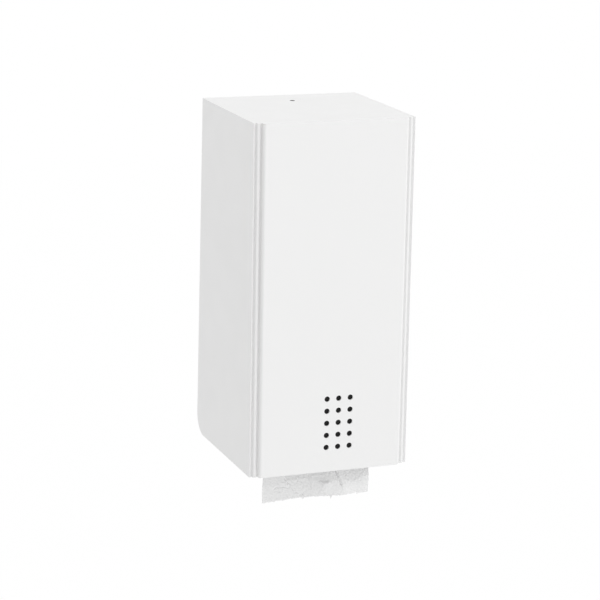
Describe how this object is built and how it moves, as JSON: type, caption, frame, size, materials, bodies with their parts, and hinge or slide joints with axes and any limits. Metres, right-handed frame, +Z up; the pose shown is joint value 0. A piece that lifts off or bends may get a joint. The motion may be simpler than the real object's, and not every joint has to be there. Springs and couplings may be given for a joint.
{
  "type": "toilet roll dispenser",
  "caption": "Wall-mounted sheet-steel dispenser that holds one toilet roll in use and one in reserve behind a hinged cover with sight holes.",
  "frame": {"origin": "on the wall bracket's rear face, in its middle plane, at mid height of the cover", "axes": "+Z up, +X to the right as seen from the front, the front faces -Y, and +Y points into the wall"},
  "size_m": [0.1514, 0.146, 0.3451],
  "materials": {
    "white_paint": "satin",
    "zinc_steel": "satin",
    "bright_steel": "satin",
    "nylon": "satin",
    "grey_plastic": "satin",
    "rubber": "matte",
    "tissue": "matte",
    "board": "matte",
    "smoked_plastic": "gloss"
  },
  "bodies": {
    "root": {"wall_bracket": "zinc_steel", "hinge_bush_left": "nylon", "hinge_bush_right": "nylon", "latch_bracket": "zinc_steel", "latch_spring": "bright_steel", "latch_stud_left": "bright_steel", "latch_stud_right": "bright_steel", "latch_nut_left": "bright_steel", "latch_nut_right": "bright_steel", "cover_buffer_left": "rubber", "cover_buffer_right": "rubber", "lower_bush_left": "nylon", "lower_bush_right": "nylon", "upper_bush_left": "nylon", "upper_bush_right": "nylon", "paper_tail": "tissue"},
    "cover": {"front_cover": "white_paint", "sight_strip": "smoked_plastic", "hinge_stud_left": "bright_steel", "hinge_stud_right": "bright_steel", "hinge_clip_left": "bright_steel", "hinge_clip_right": "bright_steel"},
    "latch": {"latch_pin": "bright_steel"},
    "lower_roll": {"lower_roll_core": "board", "lower_roll_paper": "tissue"},
    "lower_spindle": {"lower_spindle_sleeve": "grey_plastic", "lower_spindle_spring": "bright_steel"},
    "lower_plunger": {"lower_spindle_plunger": "grey_plastic"},
    "upper_roll": {"upper_roll_core": "board", "upper_roll_paper": "tissue"},
    "upper_spindle": {"upper_spindle_sleeve": "grey_plastic", "upper_spindle_spring": "bright_steel"},
    "upper_plunger": {"upper_spindle_plunger": "grey_plastic"}
  },
  "joints": [
    {"name": "cover_hinge", "type": "hinge", "parent": "root", "child": "cover", "pos_m": [0, -0.0185, -0.13575], "axis": [1, 0, 0], "range_deg": [0, 85]},
    {"name": "latch_press", "type": "slide", "parent": "root", "child": "latch", "axis": [0, 0, 1], "range_m": [-0.004, 0.0016], "stiffness_N_per_m": 300, "springref_m": 0.0016, "deforming": ["latch_spring"]},
    {"name": "lower_roll_spin", "type": "hinge", "parent": "root", "child": "lower_roll", "pos_m": [0, -0.073, -0.07875], "axis": [1, 0, 0], "continuous": true},
    {"name": "lower_spindle_spin", "type": "hinge", "parent": "root", "child": "lower_spindle", "pos_m": [0, -0.073, -0.07015], "axis": [1, 0, 0], "continuous": true},
    {"name": "lower_plunger_press", "type": "slide", "parent": "lower_spindle", "child": "lower_plunger", "axis": [-1, 0, 0], "range_m": [0, 0.008], "stiffness_N_per_m": 300, "springref_m": -0.008, "deforming": ["lower_spindle_spring"]},
    {"name": "upper_roll_spin", "type": "hinge", "parent": "root", "child": "upper_roll", "pos_m": [0, -0.073, 0.05125], "axis": [1, 0, 0], "continuous": true},
    {"name": "upper_spindle_spin", "type": "hinge", "parent": "root", "child": "upper_spindle", "pos_m": [0, -0.073, 0.05985], "axis": [1, 0, 0], "continuous": true},
    {"name": "upper_plunger_press", "type": "slide", "parent": "upper_spindle", "child": "upper_plunger", "axis": [-1, 0, 0], "range_m": [0, 0.008], "stiffness_N_per_m": 300, "springref_m": -0.008, "deforming": ["upper_spindle_spring"]}
  ],
  "couplings": [
    {"joint": "lower_spindle_spin", "follows": "lower_roll_spin", "ratio": 1.7417},
    {"joint": "upper_spindle_spin", "follows": "upper_roll_spin", "ratio": 1.7417}
  ]
}
